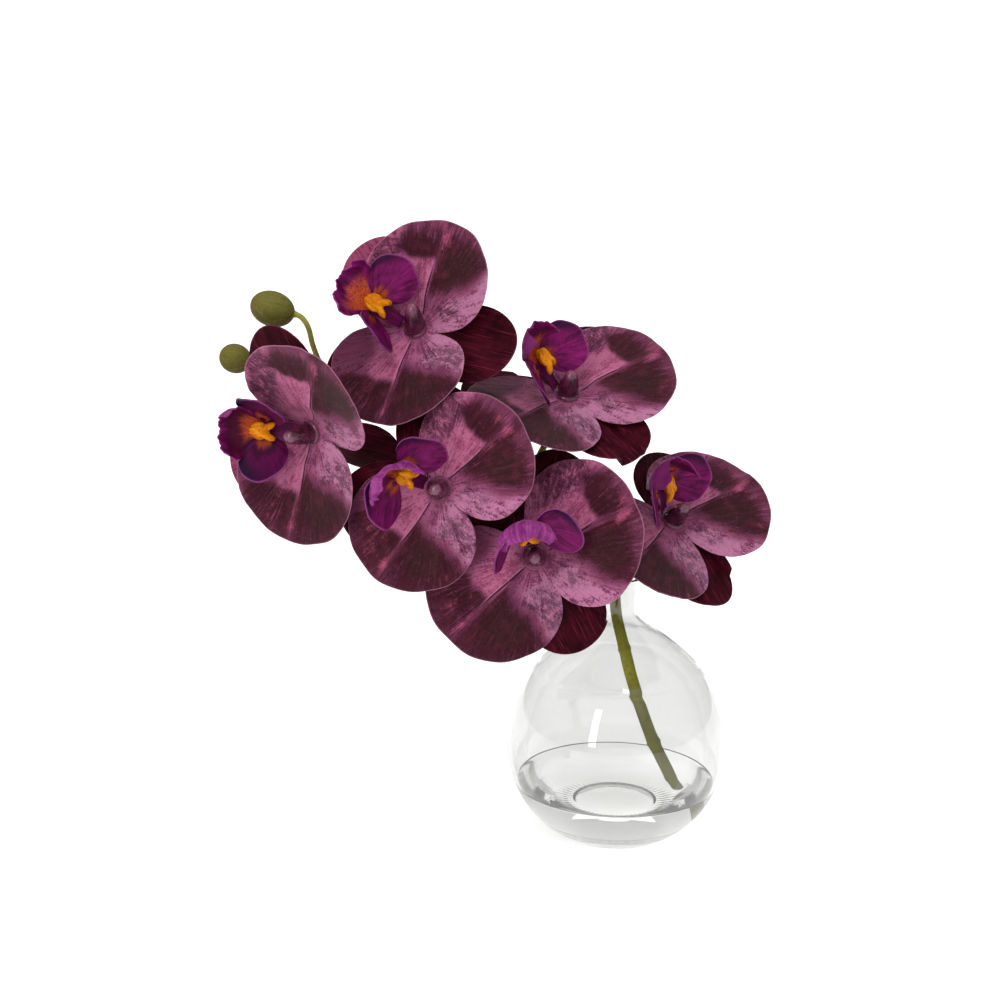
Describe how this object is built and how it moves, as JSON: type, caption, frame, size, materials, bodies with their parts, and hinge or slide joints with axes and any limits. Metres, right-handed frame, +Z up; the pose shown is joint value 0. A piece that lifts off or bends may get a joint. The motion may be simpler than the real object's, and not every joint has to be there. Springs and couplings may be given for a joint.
{
  "type": "moth orchid spray in a round glass vase",
  "caption": "Arching moth orchid spray with mottled pink and burgundy blooms and closed buds, standing in water in a round, short-necked clear glass vase.",
  "frame": {"origin": "centre of the vase's flat foot, on the surface it stands on", "axes": "+Z up along the vase's axis; the blooms face -Y; the spray arches over towards -X"},
  "size_m": [0.2261, 0.1171, 0.2588],
  "materials": {
    "glass": "clear, smooth",
    "water": "clear, still",
    "stem": "olive green, faintly ribbed, satin",
    "bud": "olive green, lighter on top, matt",
    "petal": "pink and burgundy mottling with fine streaks, matt",
    "sepal": "dark burgundy with fine streaks, matt",
    "lip": "magenta purple, orange inside the middle lobe, satin",
    "callus": "yellow orange, satin",
    "column": "dark purple, glossy"
  },
  "bodies": {
    "root": {"vase": "glass", "water": "water", "stem": "stem", "bud_1": "bud", "bud_2": "bud", "bloom_1_petals": "petal", "bloom_1_sepals": "sepal", "bloom_1_lip": "lip", "bloom_1_callus": "callus", "bloom_1_column": "column", "bloom_2_petals": "petal", "bloom_2_sepals": "sepal", "bloom_2_lip": "lip", "bloom_2_callus": "callus", "bloom_2_column": "column", "bloom_3_petals": "petal", "bloom_3_sepals": "sepal", "bloom_3_lip": "lip", "bloom_3_callus": "callus", "bloom_3_column": "column", "bloom_4_petals": "petal", "bloom_4_sepals": "sepal", "bloom_4_lip": "lip", "bloom_4_callus": "callus", "bloom_4_column": "column", "bloom_5_petals": "petal", "bloom_5_sepals": "sepal", "bloom_5_lip": "lip", "bloom_5_callus": "callus", "bloom_5_column": "column", "bloom_6_petals": "petal", "bloom_6_sepals": "sepal", "bloom_6_lip": "lip", "bloom_6_callus": "callus", "bloom_6_column": "column"}
  },
  "joints": []
}
